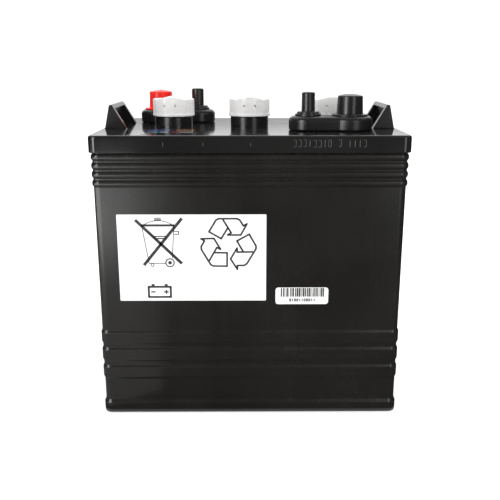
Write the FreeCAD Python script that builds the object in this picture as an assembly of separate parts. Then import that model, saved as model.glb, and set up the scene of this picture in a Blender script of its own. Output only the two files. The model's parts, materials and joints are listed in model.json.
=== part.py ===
import FreeCAD, Part
import math
import os

# Six-volt deep cycle battery: a ribbed case with three flooded cells, a flat lid with three
# quarter-turn vent caps, two booted terminals and a lifting lug at each end.
# Millimetres. +X runs along the case, +Y to the rear, +Z up. The origin is the centre of the
# underside. Heights called "h" are measured up from the flat top of the lid.

Vector = FreeCAD.Vector

# Case and lid
CASE_LENGTH = 264.0
CASE_WIDTH = 183.0
LID_TOP = 246.6
LID_SKIRT = 14.2
LID_PLATE = 5.6
LID_CORNER = 7.0
LID_INSET = 3.6             # from the lid's outside to the neck of the container
BODY_INSET = 2.3            # from the lid's outside to the container's flat walls
BODY_CORNER = 6.0
WALL = 4.2
FLOOR = 4.0
CELLS = 3
PARTITION = 3.0
MUD_RIB_HEIGHT = 14.0
MUD_RIB_THICKNESS = 3.0
MUD_RIB_Y = (-60.0, -20.0, 20.0, 60.0)

# Ribs round the container; each stands proud of the flat walls
UPPER_RIBS = 4
UPPER_RIB_PITCH = 7.2
UPPER_RIB_HEIGHT = 6.0
UPPER_RIB_OUT = 1.15
UPPER_RIB_SLOPE = 1.6
UPPER_RIBS_TOP = 231.7
LOWER_RIBS = ((32.3, 45.6), (48.8, 62.2), (65.0, 78.2))    # from, to
LOWER_RIB_OUT = 1.0
LOWER_RIB_SLOPE = 2.2
FOOT_FLANGE_HEIGHT = 9.2
FOOT_FLANGE_OUT = 1.4
FOOT_FLANGE_SLOPE = 3.2
FOOT_EDGE_RADIUS = 1.2

# Vents, on the centre line of the lid
VENT_PITCH = 70.0
VENT_TURNS = (-6.0, 0.0, 14.0)      # degrees that each cap is turned about its own axis
NECK_RADIUS = 17.5
NECK_BORE = 13.0
NECK_HEIGHT = 9.1
CAP_RIM_RADIUS = 19.1
CAP_SIDE_RADIUS = 18.9
CAP_SHOULDER = 24.6
CAP_RIDGE_TOP = 26.7
CAP_RIDGE_HALF = (11.8, 3.6)        # half width of the grip ridge at its foot and top
CAP_WALL = 1.7
CAP_FLATS = 12
CAP_FLAT_REACH = 18.5
CAP_SEAL_FACE = 10.8
CAP_HOLE_SPREAD = 5.0
CAP_HOLE_RADIUS = 0.75
CAP_HOLE_HEIGHT = 18.9
BARREL_RADIUS = 11.2
BARREL_BORE = 9.7
BARREL_END = -9.0

# Terminals. The positive one is at the rear left, the negative one at the front right.
POST_X = 86.7
STUD_X = 50.5
TERMINAL_Y = 43.0
BOOT_HEIGHT = 12.2
BOOT_POST_RADIUS = 19.6
BOOT_BAR_HALF = 16.6
BOOT_WALL = 2.6
BOOT_ROOF = 2.4
BOOT_ROUNDING = 4.2
CASTING_BASE = 1.4
CASTING_TOP = 7.8
CASTING_POST_RADIUS = 15.0
CASTING_BAR_HALF = 12.0
POST_TOP = 27.0
POST_TAPER = 1.0 / 9.0              # change of diameter along the length
POST_TOP_DIAMETER = {"positive": 17.5, "negative": 15.9}
STUD_RADIUS = 3.97
STUD_TOP = 30.0
STUD_HEAD_RADIUS = 7.4
STUD_HEAD = (1.5, 4.1)
STUD_PAD_RADIUS = 6.8
STUD_PAD_TOP = 12.0
BUSHING_RADIUS = 13.0
BUSHING_BORE = 9.0
BUSHING_FLANGE_RADIUS = 15.5
CAP_REST = BOOT_HEIGHT + 0.05       # underside of the post and stud caps
POST_CAP_RADIUS = (11.4, 10.75)      # at the flange and at the crown
POST_CAP_FLANGE = 15.6
POST_CAP_EDGE = 29.2
POST_CAP_TOP = 30.4
STUD_CAP_TOP = 32.2
STUD_CAP_RADIUS = 5.8

# Lifting lugs: a leaning outer wall with a gusset at each end and a hook pocket between them
LUG_HEIGHT = 20.6
LUG_OUTER = (128.4, 124.1)          # outer face at the foot and at the top
LUG_INNER = (109.4, 121.6)          # sloping edge of the gussets at the foot and at the top
LUG_HALF_LENGTH = (31.5, 30.5)      # at the foot and at the top
LUG_POCKET = ((108.0, -1.0), (123.5, -1.0), (121.6, 17.6), (108.0, 17.6))
LUG_POCKET_HALF = 25.5

# Cell elements
PLATE_HALF_WIDTH = 78.0
PLATE_BOTTOM = FLOOR + MUD_RIB_HEIGHT
PLATE_TOP = 198.0
POSITIVE_PLATES = 8
POSITIVE_THICKNESS = 3.0
NEGATIVE_THICKNESS = 2.3
SEPARATOR_THICKNESS = 1.7
ELEMENT_GAP = 0.1
SEPARATOR_HALF_WIDTH = 80.0
SEPARATOR_TOP = 202.0
TAB_WIDTH = 13.0
STRAP_BOTTOM = 208.0
STRAP_TOP = 216.0
STRAP_HALF_WIDTH = 10.0
STRAP_HALF_LENGTH = 37.0
UPRIGHT_TOP = 226.0
CONNECTOR_RADIUS = 5.5
CONNECTOR_Z = 219.0
COVER_HALF_WIDTH = 33.0
COVER_THICKNESS = 1.2

# Labels
LABEL_THICKNESS = 0.2
MAIN_LABEL = (-111.4, 13.6, 105.7, 181.4)       # x from, x to, z from, z to
CODE_LABEL = (21.8, 67.2, 102.3, 117.3)
LID_LABEL = (-90.0, -45.0, -79.0, -38.0)        # x from, x to, y from, y to
SKIRT_PANEL = (-123.5, -110.4, 231.8, 239.8)    # shallow mark on the front of the skirt
SKIRT_PANEL_DEPTH = 0.4

HALF_LENGTH = CASE_LENGTH / 2
HALF_WIDTH = CASE_WIDTH / 2
SKIRT_BOTTOM = LID_TOP - LID_SKIRT
CONTAINER_TOP = LID_TOP - LID_PLATE
INNER_HALF_X = HALF_LENGTH - LID_INSET - WALL
INNER_HALF_Y = HALF_WIDTH - LID_INSET - WALL
CELL_WIDTH = (2 * INNER_HALF_X - (CELLS - 1) * PARTITION) / CELLS
CELL_PITCH = CELL_WIDTH + PARTITION
CELL_X = [(n - (CELLS - 1) / 2) * CELL_PITCH for n in range(CELLS)]
UPPER_RIBS_BOTTOM = UPPER_RIBS_TOP - (UPPER_RIBS - 1) * UPPER_RIB_PITCH - UPPER_RIB_HEIGHT


# General shapes

def xz(a, b):
    return Vector(a, 0, b)


def yz(a, b):
    return Vector(0, a, b)


def outline(corners, plane=xz):
    """A closed face from corners (a, b, rounding radius) in the given plane."""
    count = len(corners)
    stops = []
    for i, (a, b, radius) in enumerate(corners):
        here = Vector(a, b, 0)
        if radius == 0:
            stops.append((here, None, here))
            continue
        to_last = (Vector(*corners[i - 1][:2], 0) - here).normalize()
        to_next = (Vector(*corners[(i + 1) % count][:2], 0) - here).normalize()
        half_angle = to_last.getAngle(to_next) / 2
        reach = radius / math.tan(half_angle)
        bisector = (to_last + to_next).normalize()
        middle = here + bisector * (radius / math.sin(half_angle) - radius)
        stops.append((here + to_last * reach, middle, here + to_next * reach))
    edges = []
    for i, (start, middle, end) in enumerate(stops):
        if middle is not None:
            points = [plane(p.x, p.y) for p in (start, middle, end)]
            edges.append(Part.Arc(*points).toShape())
        following = stops[(i + 1) % count][0]
        if (following - end).Length > 1e-6:
            edges.append(Part.makeLine(plane(end.x, end.y), plane(following.x, following.y)))
    return Part.Face(Part.Wire(edges))


def sharp(points):
    return [(a, b, 0) for a, b in points]


def turned(corners):
    """A solid of revolution about Z from corners (radius, z, rounding)."""
    return outline(corners).revolve(Vector(0, 0, 0), Vector(0, 0, 1), 360)


def box(x0, x1, y0, y1, z0, z1):
    return Part.makeBox(x1 - x0, y1 - y0, z1 - z0, Vector(x0, y0, z0))


def rod(radius, z0, z1, x=0.0, y=0.0):
    return Part.makeCylinder(radius, z1 - z0, Vector(x, y, z0))


def placed(shape, x=0.0, y=0.0, z=0.0, turn=0.0):
    """A copy of the shape, turned about the Z axis and then moved."""
    copy = shape.copy()
    copy.rotate(Vector(0, 0, 0), Vector(0, 0, 1), turn)
    copy.translate(Vector(x, y, z))
    return copy


def fused(shapes):
    return shapes[0].multiFuse(shapes[1:]).removeSplitter()


def rounded_block(corners, half_x, half_y):
    """A solid whose sides follow corners (outset, z, rounding) round a rectangle.

    The first and last corner lie on the rectangle itself, at the bottom and at the top.
    """
    face = outline(corners)
    quarter = face.revolve(Vector(0, 0, 0), Vector(0, 0, 1), 90)
    pieces = [box(-half_x, half_x, -half_y, half_y, corners[0][1], corners[-1][1])]
    places = ((half_x, -half_y, half_y), (half_x, half_y, half_x),
              (-half_x, half_y, half_y), (-half_x, -half_y, half_x))
    for k, (x, y, half_run) in enumerate(places):
        side = face.extrude(Vector(0, 2 * half_run, 0))
        pieces.append(placed(side, x, y, turn=90 * k))
        corner_x, corner_y, _ = places[(k + 1) % 4]
        pieces.append(placed(quarter, corner_x, corner_y, turn=90 * k))
    return fused(pieces)


# Container and lid

def container_sides():
    """Corners of the container's side, as outsets from its corner centres."""
    wall = BODY_CORNER
    foot = wall + FOOT_FLANGE_OUT
    corners = [(0, 0, 0), (foot, 0, FOOT_EDGE_RADIUS), (foot, FOOT_FLANGE_HEIGHT, 1.5),
               (wall, FOOT_FLANGE_HEIGHT + FOOT_FLANGE_SLOPE, 1.5)]
    for low, high in LOWER_RIBS:
        crest = wall + LOWER_RIB_OUT
        corners += [(wall, low, 1.5), (crest, low + LOWER_RIB_SLOPE, 2.5),
                    (crest, high - LOWER_RIB_SLOPE, 2.5), (wall, high, 1.5)]
    for number in range(UPPER_RIBS):
        low = UPPER_RIBS_BOTTOM + number * UPPER_RIB_PITCH
        high = low + UPPER_RIB_HEIGHT
        crest = wall + UPPER_RIB_OUT
        corners += [(wall, low, 0.6), (crest, low + UPPER_RIB_SLOPE, 3.0),
                    (crest, high - UPPER_RIB_SLOPE, 3.0), (wall, high, 0.2)]
    neck = wall - (LID_INSET - BODY_INSET)
    return corners + [(neck, UPPER_RIBS_TOP, 0), (neck, CONTAINER_TOP, 0), (0, CONTAINER_TOP, 0)]


def connector_y(number):
    """Side on which partition number 0 or 1 is crossed."""
    return -TERMINAL_Y if number % 2 == 0 else TERMINAL_Y


def partition_x(number):
    return CELL_X[number] + CELL_PITCH / 2


def container():
    half_x = HALF_LENGTH - BODY_INSET - BODY_CORNER
    half_y = HALF_WIDTH - BODY_INSET - BODY_CORNER
    case = rounded_block(container_sides(), half_x, half_y)
    for x in CELL_X:
        case = case.cut(box(x - CELL_WIDTH / 2, x + CELL_WIDTH / 2, -INNER_HALF_Y, INNER_HALF_Y,
                            FLOOR, CONTAINER_TOP + 1))
    ribs = [box(x - CELL_WIDTH / 2, x + CELL_WIDTH / 2, y - MUD_RIB_THICKNESS / 2,
                y + MUD_RIB_THICKNESS / 2, FLOOR - 1, PLATE_BOTTOM)
            for x in CELL_X for y in MUD_RIB_Y]
    case = fused([case] + ribs)
    for number in range(CELLS - 1):
        case = case.cut(connector_rod(number, CONNECTOR_RADIUS, 1.0))
    return case


def lid():
    half_x = HALF_LENGTH - LID_CORNER
    half_y = HALF_WIDTH - LID_CORNER
    skirt_out = LID_CORNER - LID_INSET + 0.1
    plate = rounded_block([(0, SKIRT_BOTTOM, 0), (LID_CORNER, SKIRT_BOTTOM, 0.8),
                           (LID_CORNER, LID_TOP, 2.3), (0, LID_TOP, 0)], half_x, half_y)
    hollow = rounded_block(sharp([(0, SKIRT_BOTTOM - 1), (skirt_out, SKIRT_BOTTOM - 1),
                                  (skirt_out, CONTAINER_TOP), (0, CONTAINER_TOP)]), half_x, half_y)
    plate = plate.cut(hollow)
    for x in vent_x():
        neck = turned([(0, -LID_PLATE / 2, 0), (NECK_RADIUS, -LID_PLATE / 2, 0),
                       (NECK_RADIUS, NECK_HEIGHT, 0.8), (0, NECK_HEIGHT, 0)])
        plate = plate.fuse(placed(neck, x, 0, LID_TOP))
    plate = plate.removeSplitter()
    for x in vent_x():
        plate = plate.cut(rod(NECK_BORE, LID_TOP - LID_SKIRT, LID_TOP + NECK_HEIGHT + 1, x))
    for x, y in ((-POST_X, TERMINAL_Y), (POST_X, -TERMINAL_Y)):
        plate = plate.cut(rod(BUSHING_RADIUS + 0.05, LID_TOP - LID_SKIRT, LID_TOP + 1, x, y))
    x0, x1, z0, z1 = SKIRT_PANEL
    return plate.cut(box(x0, x1, -HALF_WIDTH - 1, -HALF_WIDTH + SKIRT_PANEL_DEPTH, z0, z1))


def lifting_lug(side):
    """Lug at the left (side -1) or the right (side +1) end of the lid."""
    tent = outline([(LUG_OUTER[0], 0, 0), (LUG_OUTER[1], LUG_HEIGHT, 0.9),
                    (LUG_INNER[1], LUG_HEIGHT, 0.9), (LUG_INNER[0], 0, 0)])
    foot, top = LUG_HALF_LENGTH
    lug = placed(tent.extrude(Vector(0, 2 * foot, 0)), 0, -foot)
    ends = outline([(-foot, 0, 0), (foot, 0, 0), (top, LUG_HEIGHT, 1.5), (-top, LUG_HEIGHT, 1.5)], yz)
    lug = lug.common(placed(ends.extrude(Vector(HALF_LENGTH, 0, 0))))
    pocket = outline(sharp(LUG_POCKET)).extrude(Vector(0, 2 * LUG_POCKET_HALF, 0))
    lug = lug.cut(placed(pocket, 0, -LUG_POCKET_HALF))
    return placed(lug, 0, 0, LID_TOP, turn=0 if side > 0 else 180)


# Vents

def vent_x():
    return [(n - (CELLS - 1) / 2) * VENT_PITCH for n in range(CELLS)]


def vent_cap(turn):
    """Vent cap about its own axis, with its barrel, grip ridge and two gas holes."""
    wall_in = CAP_SIDE_RADIUS - CAP_WALL
    roof = CAP_SHOULDER - CAP_WALL
    seal_top = CAP_SEAL_FACE + 1.6
    rim_bottom = NECK_HEIGHT + 0.2
    cap = turned([(BARREL_BORE, BARREL_END, 0), (BARREL_RADIUS, BARREL_END, 0.5),
                  (BARREL_RADIUS, CAP_SEAL_FACE, 0), (NECK_RADIUS - 0.3, CAP_SEAL_FACE, 0),
                  (NECK_RADIUS - 0.3, rim_bottom, 0), (CAP_RIM_RADIUS, rim_bottom, 0.4),
                  (CAP_RIM_RADIUS, rim_bottom + 2.0, 0.5), (CAP_SIDE_RADIUS, rim_bottom + 2.4, 0),
                  (CAP_SIDE_RADIUS, CAP_SHOULDER, 0.7), (0, CAP_SHOULDER, 0), (0, roof, 0),
                  (wall_in - 0.3, roof, 0.8), (wall_in, seal_top, 0), (BARREL_BORE, seal_top, 0)])
    foot, top = CAP_RIDGE_HALF
    ridge = outline([(-foot, roof + 0.5, 0), (foot, roof + 0.5, 0), (foot, CAP_SHOULDER, 0),
                     (top, CAP_RIDGE_TOP, 3.0), (-top, CAP_RIDGE_TOP, 3.0), (-foot, CAP_SHOULDER, 0)])
    ridge = placed(ridge.extrude(Vector(0, 40, 0)), 0, -20)
    cap = cap.fuse(ridge.common(rod(CAP_SIDE_RADIUS - 0.2, 0, CAP_RIDGE_TOP + 1)))
    for k in range(CAP_FLATS):
        flat = box(-8, 8, CAP_FLAT_REACH, CAP_FLAT_REACH + 3, rim_bottom + 2.6, CAP_RIDGE_TOP + 1)
        cap = cap.cut(placed(flat, turn=360 / CAP_FLATS * k))
    ear = box(-3.5, 3.5, BARREL_RADIUS - 1, NECK_BORE - 0.4, -7, -4.5)
    ear = ear.common(rod(NECK_BORE - 0.4, -8, -4))
    cap = fused([cap, ear, placed(ear, turn=180)])
    for x in (-CAP_HOLE_SPREAD, CAP_HOLE_SPREAD):
        hole = Part.makeCylinder(CAP_HOLE_RADIUS, 3.5, Vector(x, -CAP_RIM_RADIUS, CAP_HOLE_HEIGHT),
                                 Vector(0, 1, 0))
        cap = cap.cut(hole)
    return placed(cap, turn=turn)


def vent_gasket():
    low = NECK_HEIGHT + 0.05
    high = CAP_SEAL_FACE - 0.1
    return turned([(12.2, low, 0.4), (16.4, low, 0.4), (16.4, high, 0.4), (12.2, high, 0.4)])


def vent_baffle():
    """Splash baffle pushed into the barrel: a drilled disc, a stem and a small upper disc."""
    baffle = turned(sharp([(0, -7), (BARREL_BORE - 0.05, -7), (BARREL_BORE - 0.05, -5.8), (2, -5.8),
                           (2, 3), (6, 3), (6, 4.2), (0, 4.2)]))
    for k in range(4):
        baffle = baffle.cut(placed(rod(2.0, -8, -5, 5.8), turn=90 * k))
    return baffle


# Terminals

def boot():
    """Cover over a terminal, with the post at the origin and the stud towards -X."""
    run = POST_X - STUD_X

    def lobed(post_radius, bar_half, low, high, low_round, high_round):
        def lobe(radius):
            return turned([(0, low, 0), (radius, low, low_round), (radius, high, high_round),
                           (0, high, 0)])

        bar = outline([(-bar_half, low, low_round), (bar_half, low, low_round),
                       (bar_half, high, high_round), (-bar_half, high, high_round)], yz)
        return fused([lobe(post_radius), placed(lobe(bar_half), -run),
                      placed(bar.extrude(Vector(run, 0, 0)), -run)])

    cover = lobed(BOOT_POST_RADIUS, BOOT_BAR_HALF, 0, BOOT_HEIGHT, 1.8, BOOT_ROUNDING)
    hollow = lobed(BOOT_POST_RADIUS - BOOT_WALL, BOOT_BAR_HALF - BOOT_WALL, -1,
                   BOOT_HEIGHT - BOOT_ROOF, 0, 1.0)
    cover = cover.cut(hollow)
    cover = cover.cut(rod(post_radius_at(CASTING_TOP, "positive") + 0.4, 0, BOOT_HEIGHT + 1))
    return cover.cut(rod(STUD_PAD_RADIUS + 0.3, 0, BOOT_HEIGHT + 1, -run))


def post_radius_at(height, polarity):
    return (POST_TOP_DIAMETER[polarity] + (POST_TOP - height) * POST_TAPER) / 2


def terminal(polarity):
    """Lead casting with a tapered post at the origin and a stud seat towards -X."""
    run = POST_X - STUD_X
    base = fused([rod(CASTING_POST_RADIUS, CASTING_BASE, CASTING_TOP),
                  rod(CASTING_BAR_HALF, CASTING_BASE, CASTING_TOP, -run),
                  box(-run, 0, -CASTING_BAR_HALF, CASTING_BAR_HALF, CASTING_BASE, CASTING_TOP),
                  rod(STUD_PAD_RADIUS, CASTING_BASE, STUD_PAD_TOP, -run)])
    post = turned([(0, CASTING_BASE, 0), (post_radius_at(CASTING_BASE, polarity), CASTING_BASE, 0),
                   (post_radius_at(POST_TOP, polarity), POST_TOP, 0.9), (0, POST_TOP, 0)])
    casting = fused([base, post])
    casting = casting.cut(rod(STUD_RADIUS + 0.03, 0, STUD_PAD_TOP + 1, -run))
    return casting.cut(rod(STUD_HEAD_RADIUS + 0.1, 0, STUD_HEAD[1] + 0.1, -run))


def stud():
    low, high = STUD_HEAD
    return turned([(0, low, 0), (STUD_HEAD_RADIUS, low, 0.3), (STUD_HEAD_RADIUS, high, 0.3),
                   (STUD_RADIUS, high, 0), (STUD_RADIUS, STUD_TOP - 0.8, 0),
                   (STUD_RADIUS - 0.8, STUD_TOP, 0), (0, STUD_TOP, 0)])


def bushing():
    """Lead ring moulded into the lid, with a flange below it."""
    flange_top = -LID_PLATE - 0.05
    return turned(sharp([(BUSHING_BORE, flange_top - 3), (BUSHING_FLANGE_RADIUS, flange_top - 3),
                         (BUSHING_FLANGE_RADIUS, flange_top), (BUSHING_RADIUS, flange_top),
                         (BUSHING_RADIUS, CASTING_BASE), (BUSHING_BORE, CASTING_BASE)]))


def post_cap(polarity):
    """Transit cap over a post. The positive one has a small moulding nub on its crown."""
    room = 0.2
    roof = POST_TOP + 0.4
    flange = CAP_REST + 1.5
    side, crown = POST_CAP_RADIUS
    cap = turned([(post_radius_at(CAP_REST, polarity) + room, CAP_REST, 0),
                  (POST_CAP_FLANGE, CAP_REST, 0.4), (POST_CAP_FLANGE, flange, 0.7),
                  (side, flange, 0.4), (crown, POST_CAP_EDGE, 1.0), (crown / 2, POST_CAP_TOP, 4.0),
                  (0, POST_CAP_TOP, 0), (0, roof, 0),
                  (post_radius_at(POST_TOP, polarity) + room, roof, 0)])
    if polarity == "positive":
        nub = turned([(0, POST_CAP_TOP - 0.5, 0), (1.1, POST_CAP_TOP - 0.5, 0),
                      (1.1, POST_CAP_TOP + 0.4, 0.3), (0, POST_CAP_TOP + 0.4, 0)])
        cap = fused([cap, nub])
    return cap


def stud_cap():
    """Transit cap over a stud, with two stepped skirts."""
    lower = CAP_REST + 2.0
    upper = CAP_REST + 3.6
    bore = STUD_RADIUS + 0.25
    return turned([(STUD_PAD_RADIUS + 0.4, CAP_REST, 0), (11.3, CAP_REST, 0.4), (11.3, lower, 0.9),
                   (9.7, lower, 0.3), (9.7, upper, 0.8), (STUD_CAP_RADIUS, upper, 0.5),
                   (STUD_CAP_RADIUS - 0.1, STUD_CAP_TOP, 1.6), (0, STUD_CAP_TOP, 0),
                   (0, STUD_TOP + 0.4, 0), (bore, STUD_TOP + 0.4, 0), (bore, lower, 0),
                   (STUD_PAD_RADIUS + 0.4, lower, 0)])


def at_terminal(shape, polarity, from_stud=False):
    """Place a shape made with the post at the origin, or with the stud there."""
    x = STUD_X if from_stud else POST_X
    if polarity == "negative":
        return placed(shape, x, -TERMINAL_Y, LID_TOP)
    return placed(shape, -x, TERMINAL_Y, LID_TOP, turn=180)


# Cell elements

def element_stack():
    """Plates and separators across one cell: (kind, x from, x to), starting and ending negative."""
    plates = 2 * POSITIVE_PLATES + 1
    kinds = []
    for number in range(plates):
        kinds.append("negative" if number % 2 == 0 else "positive")
        if number < plates - 1:
            kinds.append("separator")
    thickness = {"negative": NEGATIVE_THICKNESS, "positive": POSITIVE_THICKNESS,
                 "separator": SEPARATOR_THICKNESS}
    total = sum(thickness[kind] for kind in kinds) + ELEMENT_GAP * (len(kinds) - 1)
    stack = []
    x = -total / 2
    for kind in kinds:
        stack.append((kind, x, x + thickness[kind]))
        x += thickness[kind] + ELEMENT_GAP
    return stack


def strap_side(cell, polarity):
    """Side of a cell, -1 front or +1 rear, on which the plates of one polarity are joined."""
    positive_side = -1 if cell % 2 else 1
    return positive_side if polarity == "positive" else -positive_side


def plates(cell, polarity):
    tab_y = strap_side(cell, polarity) * TERMINAL_Y
    group = []
    for kind, x0, x1 in element_stack():
        if kind != polarity:
            continue
        plate = box(x0, x1, -PLATE_HALF_WIDTH, PLATE_HALF_WIDTH, PLATE_BOTTOM, PLATE_TOP)
        tab = box(x0, x1, tab_y - TAB_WIDTH / 2, tab_y + TAB_WIDTH / 2, PLATE_TOP - 1, STRAP_BOTTOM)
        group.append(placed(fused([plate, tab]), CELL_X[cell]))
    return Part.makeCompound(group)


def separators(cell):
    group = [placed(box(x0, x1, -SEPARATOR_HALF_WIDTH, SEPARATOR_HALF_WIDTH, PLATE_BOTTOM,
                        SEPARATOR_TOP), CELL_X[cell])
             for kind, x0, x1 in element_stack() if kind == "separator"]
    return Part.makeCompound(group)


def strap(cell, polarity):
    """Lead strap over the tabs, with an upright at a partition or a riser to a terminal."""
    y = strap_side(cell, polarity) * TERMINAL_Y
    x = CELL_X[cell]
    low, high = x - STRAP_HALF_LENGTH, x + STRAP_HALF_LENGTH
    parts = [box(low, high, y - STRAP_HALF_WIDTH, y + STRAP_HALF_WIDTH, STRAP_BOTTOM, STRAP_TOP)]
    at_left_end = polarity == "positive"
    at_terminal_cell = cell == (0 if at_left_end else CELLS - 1)
    if at_terminal_cell:
        post_x = -POST_X if at_left_end else POST_X
        parts.append(rod(BUSHING_BORE - 0.05, STRAP_TOP - 1, LID_TOP + CASTING_BASE, post_x, y))
    else:
        reach = CELL_WIDTH / 2
        span = (x - reach, low + 1) if at_left_end else (high - 1, x + reach)
        parts.append(box(*span, y - STRAP_HALF_WIDTH, y + STRAP_HALF_WIDTH, STRAP_BOTTOM, UPRIGHT_TOP))
    return fused(parts)


def connector_rod(number, radius, extra=0.0):
    """Cylinder through a partition, between the uprights of two neighbouring straps."""
    length = PARTITION + 2 * extra
    start = Vector(partition_x(number) - length / 2, connector_y(number), CONNECTOR_Z)
    return Part.makeCylinder(radius, length, start, Vector(1, 0, 0))


def element_cover(cell):
    """Perforated sheet on top of the separators, between the two rows of tabs."""
    x = CELL_X[cell]
    half_x = STRAP_HALF_LENGTH - 1
    cover = box(x - half_x, x + half_x, -COVER_HALF_WIDTH, COVER_HALF_WIDTH, SEPARATOR_TOP,
                SEPARATOR_TOP + COVER_THICKNESS)
    for column in range(-2, 3):
        for row in range(-2, 3):
            hole = rod(4.0, SEPARATOR_TOP - 1, SEPARATOR_TOP + 3, x + 13.0 * column, 12.0 * row)
            cover = cover.cut(hole)
    return cover


# Labels

def front_label(x0, x1, z0, z1, corner):
    """Thin label on the front wall between the two sets of ribs."""
    trim = outline([(x0, z0, corner), (x1, z0, corner), (x1, z1, corner), (x0, z1, corner)])
    skin = trim.extrude(Vector(0, LABEL_THICKNESS, 0))
    return placed(skin, 0, -HALF_WIDTH + BODY_INSET - LABEL_THICKNESS)


def lid_label():
    x0, x1, y0, y1 = LID_LABEL
    return box(x0, x1, y0, y1, LID_TOP, LID_TOP + LABEL_THICKNESS)


def build_nodes():
    nodes = {"container": container(), "lid": lid(), "lifting_lug_left": lifting_lug(-1),
             "lifting_lug_right": lifting_lug(1)}
    for polarity in ("positive", "negative"):
        nodes[polarity + "_terminal_boot"] = at_terminal(boot(), polarity)
        nodes[polarity + "_terminal"] = at_terminal(terminal(polarity), polarity)
        nodes[polarity + "_bushing"] = at_terminal(bushing(), polarity)
        nodes[polarity + "_stud"] = at_terminal(stud(), polarity, from_stud=True)
        nodes[polarity + "_post_cap"] = at_terminal(post_cap(polarity), polarity)
        nodes[polarity + "_stud_cap"] = at_terminal(stud_cap(), polarity, from_stud=True)
    for number, (x, turn) in enumerate(zip(vent_x(), VENT_TURNS), start=1):
        nodes["vent_cap_%d" % number] = placed(vent_cap(turn), x, 0, LID_TOP)
        nodes["vent_gasket_%d" % number] = placed(vent_gasket(), x, 0, LID_TOP)
        nodes["vent_baffle_%d" % number] = placed(vent_baffle(), x, 0, LID_TOP)
    for cell in range(CELLS):
        name = str(cell + 1)
        nodes["positive_plates_" + name] = plates(cell, "positive")
        nodes["negative_plates_" + name] = plates(cell, "negative")
        nodes["separators_" + name] = separators(cell)
        nodes["positive_strap_" + name] = strap(cell, "positive")
        nodes["negative_strap_" + name] = strap(cell, "negative")
        nodes["element_cover_" + name] = element_cover(cell)
    for number in range(CELLS - 1):
        nodes["intercell_connector_%d" % (number + 1)] = connector_rod(number, CONNECTOR_RADIUS)
    nodes["recycling_label"] = front_label(*MAIN_LABEL, 0.8)
    nodes["code_label"] = front_label(*CODE_LABEL, 2.5)
    nodes["lid_label"] = lid_label()
    return nodes


os.makedirs("parts", exist_ok=True)
for node, shape in build_nodes().items():
    shape.exportStep("parts/%s.step" % node)
    print(node, "solids", len(shape.Solids), "valid", shape.isValid(), "volume", round(shape.Volume))
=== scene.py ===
import json
import math
import random

import bpy
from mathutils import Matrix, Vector


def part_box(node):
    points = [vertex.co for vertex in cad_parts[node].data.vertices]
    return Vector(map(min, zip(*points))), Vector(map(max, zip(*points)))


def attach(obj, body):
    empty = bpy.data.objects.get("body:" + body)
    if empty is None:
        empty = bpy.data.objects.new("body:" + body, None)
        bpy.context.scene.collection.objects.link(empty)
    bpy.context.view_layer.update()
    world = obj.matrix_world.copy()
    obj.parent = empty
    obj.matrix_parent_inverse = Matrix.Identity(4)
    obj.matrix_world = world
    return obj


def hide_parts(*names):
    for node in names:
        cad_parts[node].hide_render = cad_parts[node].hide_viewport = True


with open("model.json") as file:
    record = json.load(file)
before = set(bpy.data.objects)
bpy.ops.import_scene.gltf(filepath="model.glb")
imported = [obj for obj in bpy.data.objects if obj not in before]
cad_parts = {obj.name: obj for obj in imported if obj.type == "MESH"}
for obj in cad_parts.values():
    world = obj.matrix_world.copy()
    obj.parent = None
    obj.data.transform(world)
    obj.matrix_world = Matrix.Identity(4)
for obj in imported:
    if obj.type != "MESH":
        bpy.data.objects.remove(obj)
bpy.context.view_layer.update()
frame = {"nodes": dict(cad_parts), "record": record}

# Metres, in the frame of the model: +X along the case, +Y to the rear, +Z up.
MM = 0.001
NODES = frame["nodes"]
LID_LOW, LID_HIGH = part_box("lid")
NECK_HEIGHT = 9.1 * MM
LID_TOP = LID_HIGH.z - NECK_HEIGHT
INK_THICKNESS = 0.03 * MM
CAMERA = (-3.6 * MM, -648.1 * MM, 303.9 * MM)
CAMERA_DOWN = 15.33                 # degrees
CAMERA_TURN = 0.36                  # degrees to the right
CAMERA_LENS = 49.44
MIRRORED_EYE_Y = 469.7 * MM         # the camera's mirror image behind the front face

# The stage: a floor just under the case and a ring of cards round it.
FLOOR_REACH = 6.0
FLOOR_LEVEL = -0.0002
CARD_LEVEL = 0.003                  # cards lie above the floor, and glows above the cards
GLOW_LEVEL = 0.004
RING_RADIUS = 2.4
RING_HEIGHT = 2.2
RING_STEPS = 36
REAR_STEPS = range(5, 13)           # the steps of the ring that are behind the case
BAND_TOP = 0.48                     # where the far floor ends and the backdrop begins
LIGHT_AIM = (0, 0, 0.18)


# Materials

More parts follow.
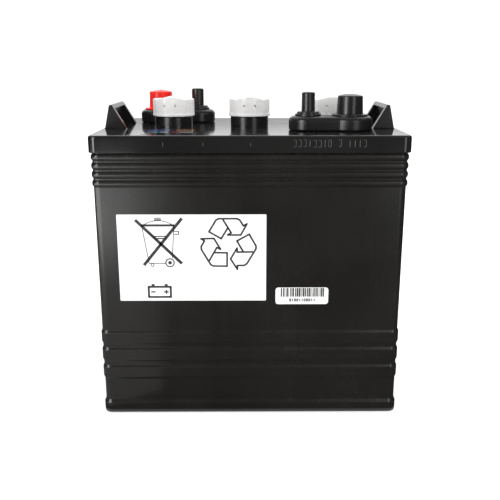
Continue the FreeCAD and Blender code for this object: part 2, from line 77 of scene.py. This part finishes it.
class Paint:
    """A Principled material, with helpers that add procedural detail to it."""

    def __init__(self, name, color, roughness, **inputs):
        self.material = bpy.data.materials.new(name)
        self.material.use_nodes = True
        self.tree = self.material.node_tree
        self.shader = self.tree.nodes["Principled BSDF"]
        self.shader.inputs["Base Color"].default_value = (*color, 1)
        self.shader.inputs["Roughness"].default_value = roughness
        for key, value in inputs.items():
            self.shader.inputs[key.replace("_", " ")].default_value = value
        self.coords = self.node("ShaderNodeTexCoord").outputs["Object"]

    def node(self, kind, links=None, values=None, **settings):
        made = self.tree.nodes.new(kind)
        for key, value in settings.items():
            setattr(made, key, value)
        for key, value in (values or {}).items():
            made.inputs[key].default_value = value
        for key, socket in (links or {}).items():
            self.tree.links.new(socket, made.inputs[key])
        return made

    def stretched(self, scale):
        return self.node("ShaderNodeMapping", {"Vector": self.coords}, {"Scale": scale}).outputs[0]

    def noise(self, scale, detail=2.0, vector=None):
        values = {"Scale": scale, "Detail": detail, "Roughness": 0.55}
        return self.node("ShaderNodeTexNoise", {"Vector": vector or self.coords}, values).outputs["Fac"]

    def remap(self, fac, low, high, to_low, to_high):
        values = {"From Min": low, "From Max": high, "To Min": to_low, "To Max": to_high}
        return self.node("ShaderNodeMapRange", {"Value": fac}, values).outputs["Result"]

    def math(self, operation, first, second):
        made = self.node("ShaderNodeMath", operation=operation)
        for index, value in enumerate((first, second)):
            if isinstance(value, (int, float)):
                made.inputs[index].default_value = value
            else:
                self.tree.links.new(value, made.inputs[index])
        return made.outputs[0]

    def blend(self, fac, first, second):
        made = self.node("ShaderNodeMix", {"Factor": fac}, data_type="RGBA")
        for index, value in ((6, first), (7, second)):
            if isinstance(value, tuple):
                made.inputs[index].default_value = (*value, 1)
            else:
                self.tree.links.new(value, made.inputs[index])
        return made.outputs[2]

    def use(self, name, socket):
        self.tree.links.new(socket, self.shader.inputs[name])

    def bump(self, *layers):
        """Layers are (height, strength, distance), the finest first."""
        normal = None
        for height, strength, distance in layers:
            links = {"Height": height}
            if normal is not None:
                links["Normal"] = normal
            values = {"Strength": strength, "Distance": distance}
            normal = self.node("ShaderNodeBump", links, values).outputs["Normal"]
        self.use("Normal", normal)

    def edges(self, radius):
        """1 on sharp edges and 0 on open faces, broken up by noise."""
        rounded = self.node("ShaderNodeBevel", values={"Radius": radius}, samples=4).outputs["Normal"]
        true = self.node("ShaderNodeNewGeometry").outputs["Normal"]
        dot = self.node("ShaderNodeVectorMath", {0: rounded, 1: true}, operation="DOT_PRODUCT")
        sharpness = self.remap(dot.outputs["Value"], 1.0, 0.75, 0.0, 1.0)
        patches = self.remap(self.noise(180, 4), 0.42, 0.62, 0.0, 1.0)
        return self.math("MULTIPLY", sharpness, patches)


def moulded_plastic(name, color, roughness, wear=0.25, waviness=0.2, grain=0.12, dust=0.35,
                    satin_above=None, **inputs):
    """Injection-moulded polypropylene with orange peel, slow waviness, rubbed edges and dust.

    A satin_above of (height, extra roughness) dulls whatever stands higher than that.
    """
    paint = Paint(name, color, roughness, **inputs)
    patches = paint.remap(paint.noise(14, 4), 0.3, 0.7, 0.0, 1.0)
    pale = tuple(c * 1.35 + 0.002 for c in color)
    body = paint.blend(patches, color, pale)
    rubbed = paint.edges(0.6 * MM)
    scuffed = tuple(min(1.0, c * 1.8 + 0.02) for c in color)
    body = paint.blend(paint.math("MULTIPLY", rubbed, wear), body, scuffed)
    specks = paint.remap(paint.noise(1500, 1), 0.73, 0.79, 0.0, dust)
    dusty = tuple(min(1.0, c * 0.6 + 0.16) for c in color)
    paint.use("Base Color", paint.blend(specks, body, dusty))
    streaks = paint.noise(60, 3, paint.stretched((1.0, 1.0, 0.12)))
    rough = paint.remap(streaks, 0.3, 0.7, roughness * 0.85, roughness * 1.2)
    rough = paint.math("ADD", rough, paint.math("MULTIPLY", specks, 0.3))
    if satin_above:
        height, extra = satin_above
        above = paint.node("ShaderNodeSeparateXYZ", {"Vector": paint.coords}).outputs["Z"]
        satin = paint.remap(above, height, height + 0.5 * MM, 0.0, extra)
        rough = paint.math("ADD", rough, satin)
    paint.use("Roughness", paint.math("ADD", rough, paint.math("MULTIPLY", rubbed, 0.15)))
    paint.bump((paint.noise(900, 2), grain, 0.02 * MM), (paint.noise(16, 2), waviness, 0.6 * MM))
    return paint.material


def milky_plastic(name):
    """Natural polypropylene: translucent, with faint flow lines and a soft sheen."""
    paint = Paint(name, (0.9, 0.89, 0.87), 0.32, Subsurface_Weight=0.3, Subsurface_Scale=0.0012, IOR=1.49)
    paint.shader.inputs["Subsurface Radius"].default_value = (1.0, 0.95, 0.85)
    flow = paint.noise(120, 3, paint.stretched((1.0, 1.0, 0.3)))
    paint.use("Base Color", paint.blend(paint.remap(flow, 0.35, 0.7, 0.0, 1.0), (0.97, 0.96, 0.945),
                                        (0.93, 0.92, 0.9)))
    paint.use("Roughness", paint.remap(paint.noise(300, 2), 0.3, 0.7, 0.26, 0.42))
    paint.bump((paint.noise(1100, 2), 0.15, 0.02 * MM), (paint.noise(150, 1), 0.2, 0.1 * MM))
    return paint.material


def rubber(name):
    paint = Paint(name, (0.025, 0.025, 0.026), 0.7)
    paint.use("Base Color", paint.blend(paint.noise(90, 4), (0.018, 0.018, 0.019), (0.04, 0.04, 0.04)))
    paint.use("Roughness", paint.remap(paint.noise(200, 2), 0.3, 0.7, 0.6, 0.8))
    paint.bump((paint.noise(2500, 2), 0.3, 0.03 * MM))
    return paint.material


def cast_lead(name):
    """Dull grey cast lead with oxide patches and small casting pits."""
    paint = Paint(name, (0.33, 0.34, 0.37), 0.5, Metallic=0.85)
    oxide = paint.remap(paint.noise(70, 6), 0.4, 0.65, 0.0, 1.0)
    paint.use("Base Color", paint.blend(oxide, (0.36, 0.37, 0.40), (0.2, 0.205, 0.22)))
    paint.use("Roughness", paint.remap(oxide, 0.0, 1.0, 0.38, 0.68))
    pits = paint.remap(paint.noise(700, 2), 0.62, 0.75, 1.0, 0.0)
    paint.bump((paint.noise(1600, 3), 0.25, 0.04 * MM), (pits, 0.4, 0.08 * MM))
    return paint.material


def bright_steel(name):
    """Zinc-bright steel with fine turning marks round the axis."""
    paint = Paint(name, (0.62, 0.61, 0.58), 0.24, Metallic=1.0)
    turning = paint.noise(400, 3, paint.stretched((0.05, 0.05, 8.0)))
    paint.use("Base Color", paint.blend(paint.noise(60, 3), (0.66, 0.65, 0.62), (0.52, 0.51, 0.48)))
    paint.use("Roughness", paint.remap(turning, 0.3, 0.7, 0.18, 0.34))
    paint.bump((turning, 0.2, 0.01 * MM))
    return paint.material


def pasted_plate(name, dry, damp):
    """Active mass pressed into a grid, whose bars show as a shallow lattice."""
    paint = Paint(name, dry, 0.85)
    paint.use("Base Color", paint.blend(paint.remap(paint.noise(45, 6), 0.35, 0.65, 0.0, 1.0), dry, damp))
    paint.use("Roughness", paint.remap(paint.noise(300, 3), 0.3, 0.7, 0.75, 0.95))
    lattice = paint.node("ShaderNodeTexBrick", {"Vector": paint.coords},
                         {"Scale": 60.0, "Mortar Size": 0.03, "Brick Width": 0.5, "Row Height": 0.25})
    paint.bump((paint.noise(1200, 4), 0.5, 0.1 * MM), (lattice.outputs["Fac"], 0.4, 0.2 * MM))
    return paint.material


def microporous_sheet(name):
    paint = Paint(name, (0.55, 0.53, 0.48), 0.7)
    ribs = paint.node("ShaderNodeTexWave", {"Vector": paint.coords}, {"Scale": 40.0, "Distortion": 0.2},
                      bands_direction="Y")
    paint.use("Base Color", paint.blend(paint.noise(60, 4), (0.58, 0.56, 0.5), (0.47, 0.45, 0.4)))
    paint.use("Roughness", paint.remap(paint.noise(400, 2), 0.3, 0.7, 0.6, 0.8))
    paint.bump((paint.noise(3000, 2), 0.2, 0.02 * MM), (ribs.outputs["Fac"], 0.5, 0.3 * MM))
    return paint.material


def label_paper(name, white, warm, roughness=0.42):
    """Sticker paper with a faint fibre and slow cockling."""
    paint = Paint(name, white, roughness, Specular_IOR_Level=0.4)
    paint.use("Base Color", paint.blend(paint.remap(paint.noise(35, 5), 0.3, 0.75, 0.0, 1.0), white, warm))
    paint.use("Roughness", paint.remap(paint.noise(120, 3), 0.3, 0.7, roughness * 0.85, roughness * 1.2))
    paint.bump((paint.noise(2200, 3), roughness * 0.3, 0.02 * MM),
               (paint.noise(22, 1), roughness * 0.35, 0.3 * MM))
    return paint.material


def print_ink(name, color, roughness=0.45):
    """Printing ink, a little uneven in density."""
    paint = Paint(name, color, roughness)
    worn = tuple(min(1.0, c * 1.5 + 0.03) for c in color)
    paint.use("Base Color", paint.blend(paint.remap(paint.noise(700, 3), 0.45, 0.75, 0.0, 1.0), color, worn))
    paint.use("Roughness", paint.remap(paint.noise(300, 2), 0.3, 0.7, roughness * 0.85, roughness * 1.2))
    paint.bump((paint.noise(2600, 2), roughness * 0.2, 0.01 * MM))
    return paint.material


MATERIALS = {
    "case_plastic": moulded_plastic("case_plastic", (0.0105, 0.0097, 0.0088), 0.24),
    "lid_plastic": moulded_plastic("lid_plastic", (0.0105, 0.01, 0.0098), 0.09, waviness=0.06, grain=0.03,
                                   dust=0.2, satin_above=(LID_TOP + 0.5 * MM, 0.16)),
    "boot_plastic": moulded_plastic("boot_plastic", (0.011, 0.0108, 0.0108), 0.3, waviness=0.06, grain=0.04),
    "black_cap_plastic": moulded_plastic("black_cap_plastic", (0.012, 0.0115, 0.0115), 0.27, waviness=0.04,
                                         grain=0.02),
    "red_cap_plastic": moulded_plastic("red_cap_plastic", (0.9, 0.022, 0.014), 0.24, wear=0.1, waviness=0.04,
                                       grain=0.03, dust=0.1, Subsurface_Weight=0.15, Subsurface_Scale=0.001,
                                       Specular_IOR_Level=0.25),
    "vent_plastic": milky_plastic("vent_plastic"),
    "gasket_rubber": rubber("gasket_rubber"),
    "lead": cast_lead("lead"),
    "stud_steel": bright_steel("stud_steel"),
    "positive_plate": pasted_plate("positive_plate", (0.16, 0.08, 0.045), (0.09, 0.045, 0.03)),
    "negative_plate": pasted_plate("negative_plate", (0.34, 0.35, 0.36), (0.24, 0.25, 0.26)),
    "separator_plastic": microporous_sheet("separator_plastic"),
    "label_paper": label_paper("label_paper", (0.97, 0.97, 0.965), (0.94, 0.94, 0.93)),
    "lid_label_paper": label_paper("lid_label_paper", (0.03, 0.03, 0.035), (0.02, 0.02, 0.024), 0.06),
}
INK = print_ink("dark_ink", (0.022, 0.02, 0.02))
# Paler than the lid plastic: a painted sheen that stands in for light catching the stamped relief.
STAMP_SHEEN = print_ink("stamped_sheen", (0.06, 0.06, 0.058))
LID_INKS = {name: print_ink(name + "_ink", color, 0.07) for name, color in (
    ("blue", (0.05, 0.07, 0.23)), ("cyan", (0.09, 0.3, 0.34)), ("orange", (0.34, 0.14, 0.03)),
    ("red", (0.38, 0.03, 0.04)), ("pale", (0.52, 0.5, 0.52)))}


def paint_nodes():
    for entry in frame["record"]["subparts"]:
        mesh = NODES[entry["node"]].data
        mesh.materials.clear()
        mesh.materials.append(MATERIALS[entry["material_slot"]])


# Mesh pieces

def add_mesh(name, vertices, faces, material, smooth=False):
    mesh = bpy.data.meshes.new(name)
    mesh.from_pydata([tuple(v) for v in vertices], [], faces)
    mesh.materials.append(material)
    mesh.update()
    for polygon in mesh.polygons:
        polygon.use_smooth = smooth
    made = bpy.data.objects.new(name, mesh)
    bpy.context.scene.collection.objects.link(made)
    return made


class Print:
    """Flat ink drawn as strokes and filled shapes on a surface.

    Points are in millimetres from the surface's own origin. The surface is a function from
    (across, up, lift) to a point of the model, with lift away from the surface.
    """

    def __init__(self, surface):
        self.surface = surface
        self.vertices = []
        self.faces = []

    def fill(self, outline):
        """A filled convex outline, as a thin prism."""
        first = len(self.vertices)
        count = len(outline)
        for lift in (0.0, INK_THICKNESS):
            self.vertices += [self.surface(a * MM, b * MM, lift) for a, b in outline]
        self.faces.append(tuple(first + count + i for i in range(count)))
        for i in range(count):
            j = (i + 1) % count
            self.faces.append((first + i, first + j, first + count + j, first + count + i))

    def dot(self, a, b, radius, sides=16):
        turns = [2 * math.pi * i / sides for i in range(sides)]
        self.fill([(a + radius * math.cos(t), b + radius * math.sin(t)) for t in turns])

    def stroke(self, points, width, closed=False, round_ends=True):
        """A line of the given width through the points, with round joints."""
        path = list(points) + ([points[0]] if closed else [])
        for (a0, b0), (a1, b1) in zip(path, path[1:]):
            length = math.hypot(a1 - a0, b1 - b0)
            side_a = -(b1 - b0) / length * width / 2
            side_b = (a1 - a0) / length * width / 2
            self.fill([(a0 + side_a, b0 + side_b), (a0 - side_a, b0 - side_b),
                       (a1 - side_a, b1 - side_b), (a1 + side_a, b1 + side_b)])
        joints = path if round_ends else path[1:-1]
        for a, b in joints:
            self.dot(a, b, width / 2, 12)

    def finish(self, name, material):
        made = add_mesh(name, self.vertices, self.faces, material)
        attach(made, "case")


def arc(centre, radius, start, end, steps=14):
    """Points on an arc, in degrees counted from the +a axis."""
    turns = [math.radians(start + (end - start) * i / steps) for i in range(steps + 1)]
    return [(centre[0] + radius * math.cos(t), centre[1] + radius * math.sin(t)) for t in turns]


def label_surface(node, width, height):
    """Stretches a drawing of the given size over a front label, from its lower left corner."""
    low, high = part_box(node)

    def surface(a, b, lift):
        return (low.x + a * (high.x - low.x) / (width * MM), low.y - lift,
                low.z + b * (high.z - low.z) / (height * MM))

    return surface


def draw_crossed_bin(ink):
    """A wheeled bin in thin lines, struck out by two broad strokes."""
    thin = 0.65
    ink.stroke([(20.8, 66.6), (25.9, 33.6), (39.4, 33.6)], thin)
    ink.stroke([(47.6, 66.6), (45.6, 38.4)], thin)
    ink.stroke([(21.2, 66.9), (47.6, 66.9)], 1.9)
    ink.stroke(arc((34.4, 49.6), 21.4, 54.5, 125.5), thin)
    for height in (71.4, 72.3, 73.2):
        ink.stroke([(31.6, height), (36.8, height)], thin)
    ink.stroke([(48.0, 59.2), (51.4, 59.2), (51.4, 61.8), (48.0, 61.8)], 0.8)
    for height, width in ((57.4, 1.0), (55.5, 1.1)):
        ink.stroke([(30.8, height), (40.8, height)], width)
    wheel = (43.5, 34.2)
    ink.stroke(arc(wheel, 3.5, 0, 360, 28), 1.0)
    ink.dot(*wheel, 1.6, 24)
    ink.stroke(arc((28.6, 32.2), 1.3, 0, 360, 12), thin)
    ink.stroke([(15.5, 71.6), (53.6, 33.4)], 2.6, round_ends=False)
    ink.stroke([(54.4, 73.0), (21.4, 32.0)], 2.6, round_ends=False)


def draw_arrow_loop(ink):
    """Three bent arrows that follow each other round an open triangle."""
    centre = (93.0, 50.5)
    arrow = [(-16.2, 10.8), (-10.2, 20.9), (-8.0, 22.1), (7.2, 22.1), (9.6, 20.9), (12.6, 15.9),
             (15.6, 17.6), (10.4, 8.0), (-0.6, 8.0), (2.4, 9.9), (-4.2, 20.9)]
    flap = [(-16.2, 10.8), (-6.0, 4.8), (-0.4, 14.2)]
    for k in range(3):
        turn = math.radians(-120 * k)

        def moved(points):
            return [(centre[0] + a * math.cos(turn) - b * math.sin(turn),
                     centre[1] + a * math.sin(turn) + b * math.cos(turn)) for a, b in points]

        ink.stroke(moved(arrow), 1.55)
        ink.stroke(moved(flap), 1.55)


def draw_cell_symbol(ink):
    """A small cell with its plus and minus signs, in place of a chemical symbol."""
    ink.stroke([(24.6, 3.4), (24.6, 12.6), (43.4, 12.6), (43.4, 3.4)], 1.8, closed=True)
    for a in (28.4, 39.6):
        ink.stroke([(a - 1.3, 14.2), (a + 1.3, 14.2)], 1.9, round_ends=False)
        ink.stroke([(a - 1.9, 8.0), (a + 1.9, 8.0)], 1.2, round_ends=False)
    ink.stroke([(39.6, 6.1), (39.6, 9.9)], 1.2, round_ends=False)


def main_label_print():
    width, height = 124.8, 76.2
    ink = Print(label_surface("recycling_label", width, height))
    draw_crossed_bin(ink)
    draw_arrow_loop(ink)
    draw_cell_symbol(ink)
    ink.finish("label_pictograms", INK)


def code_label_print():
    """Bars over a row of small marks, both without meaning."""
    label_width, label_height = 46.1, 16.0
    first_bar, last_bar = 4.6, 41.6
    bar_foot, bar_top = 7.2, 15.6
    marks, first_mark, mark_pitch = 11, 12.9, 2.1
    ink = Print(label_surface("code_label", label_width, label_height))
    chance = random.Random(11)
    a = first_bar
    while a < last_bar:
        width = chance.choice((0.5, 0.5, 0.8, 1.1, 1.4))
        ink.fill([(a, bar_foot), (a + width, bar_foot), (a + width, bar_top), (a, bar_top)])
        a += width + chance.choice((0.35, 0.4, 0.6, 0.9))
    for number in range(marks):
        middle = first_mark + mark_pitch * number
        if chance.random() < 0.45:
            ink.stroke([(middle, 2.7), (middle, 5.3)], 0.85, round_ends=False)
        else:
            ink.stroke([(middle - 0.5, 2.9), (middle + 0.5, 2.9), (middle + 0.5, 5.1), (middle - 0.5, 5.1)],
                       0.7, closed=True)
    ink.finish("code_bars", INK)


def skirt_marks():
    """Shallow stamped marks on the front of the lid's skirt, without meaning, drawn as flat paler ink: a
    painted sheen of light on their relief.
    """
    def surface(a, b, lift):
        return (a, LID_LOW.y - lift, LID_TOP + b)

    first_mark, mark_pitch, mark_height = 36.2, 4.05, 5.4
    gaps = (8, 10)
    stamp = Print(surface)
    chance = random.Random(5)
    for n in (n for n in range(15) if n not in gaps):
        a = first_mark + mark_pitch * n
        foot = -9.0 + 0.25 * math.sin(n * 0.9)
        top = foot + mark_height
        if chance.random() < 0.35:
            stamp.stroke([(a, foot), (a, top)], 0.55)
        else:
            stamp.stroke([(a - 1.0, foot), (a + 1.0, foot), (a + 1.0, top), (a - 1.0, top)], 0.42,
                         closed=chance.random() < 0.5)
    for a in (-70.5, -38.0, 0.4):
        stamp.stroke([(a, -8.6), (a, -5.6)], 0.4)
    stamp.finish("skirt_marks", STAMP_SHEEN)


def lid_label_print():
    """Plain blocks of colour on the lid's sticker."""
    low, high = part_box("lid_label")
    width = (high.x - low.x) / MM
    depth = (high.y - low.y) / MM

    def surface(a, b, lift):
        return (low.x + a, low.y + b, high.z + lift)

    blocks = (("blue", 0.04, 0.46, 0.60, 0.90), ("cyan", 0.08, 0.34, 0.30, 0.42),
              ("pale", 0.34, 0.46, 0.30, 0.42), ("orange", 0.60, 0.94, 0.66, 0.86),
              ("red", 0.56, 0.66, 0.30, 0.46), ("pale", 0.68, 0.94, 0.30, 0.40))
    for number, (color, a0, a1, b0, b1) in enumerate(blocks, start=1):
        ink = Print(surface)
        ink.fill([(a0 * width, b0 * depth), (a1 * width, b0 * depth), (a1 * width, b1 * depth),
                  (a0 * width, b1 * depth)])
        ink.finish("lid_label_block_%d" % number, LID_INKS[color])


def threaded_stud(node, steps_per_turn=28):
    """A stud with a real thread, in place of the plain one."""
    low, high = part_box(node)
    axis_x = (low.x + high.x) / 2
    axis_y = (low.y + high.y) / 2
    head_radius = (high.x - low.x) / 2
    head_top = low.z + 2.6 * MM
    chamfer = 0.3 * MM
    nearly_zero = 0.01 * MM
    crest = 3.97 * MM
    pitch = 1.41 * MM
    depth = 0.75 * MM
    tip_taper = 0.6 * MM
    tip_length = 1.0 * MM
    run_out_length = 1.5 * MM
    rings = [(low.z, nearly_zero), (low.z, head_radius - chamfer), (low.z + chamfer, head_radius),
             (head_top - chamfer, head_radius), (head_top, head_radius - chamfer), (head_top, crest)]
    thread_from = head_top + 6.0 * MM
    thread_to = high.z
    layers = int((thread_to - thread_from) / pitch * 8)
    vertices, faces = [], []

    def add_ring(height, radius_at):
        """One ring of vertices, joined to the ring before it."""
        first = len(vertices)
        for i in range(steps_per_turn):
            turn = 2 * math.pi * i / steps_per_turn
            radius = radius_at(i)
            vertices.append((axis_x + radius * math.cos(turn), axis_y + radius * math.sin(turn), height))
        if first:
            for i in range(steps_per_turn):
                j = (i + 1) % steps_per_turn
                back = first - steps_per_turn
                faces.append((back + i, back + j, first + j, first + i))

    for height, radius in rings:
        add_ring(height, lambda i, r=radius: r)
    for layer in range(layers + 1):
        height = thread_from + (thread_to - thread_from) * layer / layers

        def radius_at(i, h=height):
            phase = ((h - thread_from) / pitch - i / steps_per_turn) % 1.0
            groove = depth * (1 - abs(2 * phase - 1)) ** 0.9
            lead_in = max(0.0, 1.0 - (thread_to - h) / tip_length)
            run_out = min(1.0, (h - thread_from) / run_out_length)
            return crest - groove * run_out - tip_taper * lead_in * (1 - groove / depth)

        add_ring(height, radius_at)
    add_ring(thread_to, lambda i: nearly_zero)
    made = add_mesh(node + "_threaded", vertices, faces, MATERIALS["stud_steel"], smooth=True)
    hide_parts(node)
    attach(made, "case")


# Stage, light and camera

def panel(name, corners, material, floor=False):
    """A flat piece of the stage. All but the floor only show in reflections."""
    made = add_mesh(name, corners, [tuple(range(len(corners)))], material)
    if not floor:
        made.visible_camera = False
        made.visible_diffuse = False
        made.visible_shadow = False
        made.visible_transmission = False


def flat_shader(name, color, strength=None):
    """A matt material without highlights, which can glow."""
    material = bpy.data.materials.new(name)
    material.use_nodes = True
    shader = material.node_tree.nodes["Principled BSDF"]
    shader.inputs["Base Color"].default_value = (*color, 1)
    shader.inputs["Roughness"].default_value = 0.9
    shader.inputs["Specular IOR Level"].default_value = 0.0
    if strength is not None:
        shader.inputs["Emission Color"].default_value = (1, 1, 1, 1)
        shader.inputs["Emission Strength"].default_value = strength
    return material


def flat_square(reach, back, level):
    """Corners of a level card that goes out to reach at the front and sides, and to back behind."""
    return [(-reach, -reach, level), (reach, -reach, level), (reach, back, level), (-reach, back, level)]


def on_floor(azimuth, distance):
    """A floor point, seen in the front face at that azimuth and at that distance from its mirror."""
    turn = math.radians(azimuth)
    return (distance * math.sin(turn), MIRRORED_EYE_Y - distance * math.cos(turn), GLOW_LEVEL)


def glow(name, azimuths, distances, radiance):
    """A bright patch of floor that only shows in reflections."""
    (left, right), (near, far) = azimuths, distances
    corners = [on_floor(left, near), on_floor(left, far), on_floor(right, far), on_floor(right, near)]
    panel(name, corners, flat_shader(name, (0, 0, 0), radiance))


def build_stage():
    pale = flat_shader("pale_floor", (0.96, 0.96, 0.96), 0.3)
    panel("floor", flat_square(FLOOR_REACH, FLOOR_REACH, FLOOR_LEVEL), pale, floor=True)
    black = flat_shader("black_card", (0.004, 0.004, 0.004))
    far_band = flat_shader("far_band", (0, 0, 0), 0.5)
    backdrop = flat_shader("backdrop", (0, 0, 0), 1.35)
    for k in range(RING_STEPS):
        ends = [math.radians(360 * (k + i) / RING_STEPS) for i in (0, 1)]
        a, b = ((RING_RADIUS * math.cos(t), RING_RADIUS * math.sin(t)) for t in ends)
        if k in REAR_STEPS:
            bands = ((0.0, BAND_TOP, far_band), (BAND_TOP, RING_HEIGHT, backdrop))
        else:
            bands = ((0.0, RING_HEIGHT, black),)
        for low, high, material in bands:
            panel("surround_%d" % k, [(*a, low), (*b, low), (*b, high), (*a, high)], material)
    panel("floor_card", flat_square(RING_RADIUS, RING_RADIUS, CARD_LEVEL), black)
    panel("ceiling_card", flat_square(RING_RADIUS, 0.0, RING_HEIGHT), black)
    glow("left_glow", (-66, -10.0), (1.15, 2.25), 4.8)
    glow("left_low_glow", (-60, -8.0), (0.6, 1.15), 0.4)
    glow("right_glow", (11.5, 30), (1.45, 2.2), 0.8)


def softbox(name, azimuth, distance, height, width, tall, radiance, diffuse=False):
    """An upright area light aimed at the case. Azimuth 0 is in front, positive to the right."""
    light = bpy.data.lights.new(name, "AREA")
    light.shape = "RECTANGLE"
    light.size = width
    light.size_y = tall
    light.energy = radiance * math.pi * width * tall
    made = bpy.data.objects.new(name, light)
    turn = math.radians(azimuth)
    made.location = (distance * math.sin(turn), -distance * math.cos(turn), height)
    aim = Vector(LIGHT_AIM) - made.location
    made.rotation_euler = aim.to_track_quat("-Z", "Y").to_euler()
    made.visible_camera = False
    made.visible_diffuse = diffuse
    bpy.context.scene.collection.objects.link(made)
    return made


def build_lights():
    world = bpy.data.worlds.new("studio")
    world.use_nodes = True
    background = world.node_tree.nodes["Background"]
    background.inputs["Color"].default_value = (1, 1, 1, 1)
    background.inputs["Strength"].default_value = 1.05
    bpy.context.scene.world = world
    softbox("left_box", -41, 1.5, 0.55, 0.6, 1.3, 7.0)
    softbox("right_box", 29, 1.6, 0.55, 0.55, 1.3, 2.2)
    top = softbox("top_box", 0, 0.01, 2.0, 2.2, 2.2, 1.3, diffuse=True)
    top.rotation_euler = (0, 0, 0)
    top.visible_glossy = False


def build_camera():
    camera = bpy.data.cameras.new("camera")
    camera.lens = CAMERA_LENS
    camera.sensor_width = 36.0
    made = bpy.data.objects.new("camera", camera)
    made.location = CAMERA
    made.rotation_euler = (math.radians(90 - CAMERA_DOWN), 0, math.radians(-CAMERA_TURN))
    bpy.context.scene.collection.objects.link(made)
    bpy.context.scene.camera = made
    bpy.context.scene.view_settings.view_transform = "Standard"


paint_nodes()
main_label_print()
code_label_print()
skirt_marks()
lid_label_print()
threaded_stud("positive_stud")
threaded_stud("negative_stud")
build_stage()
build_lights()
build_camera()
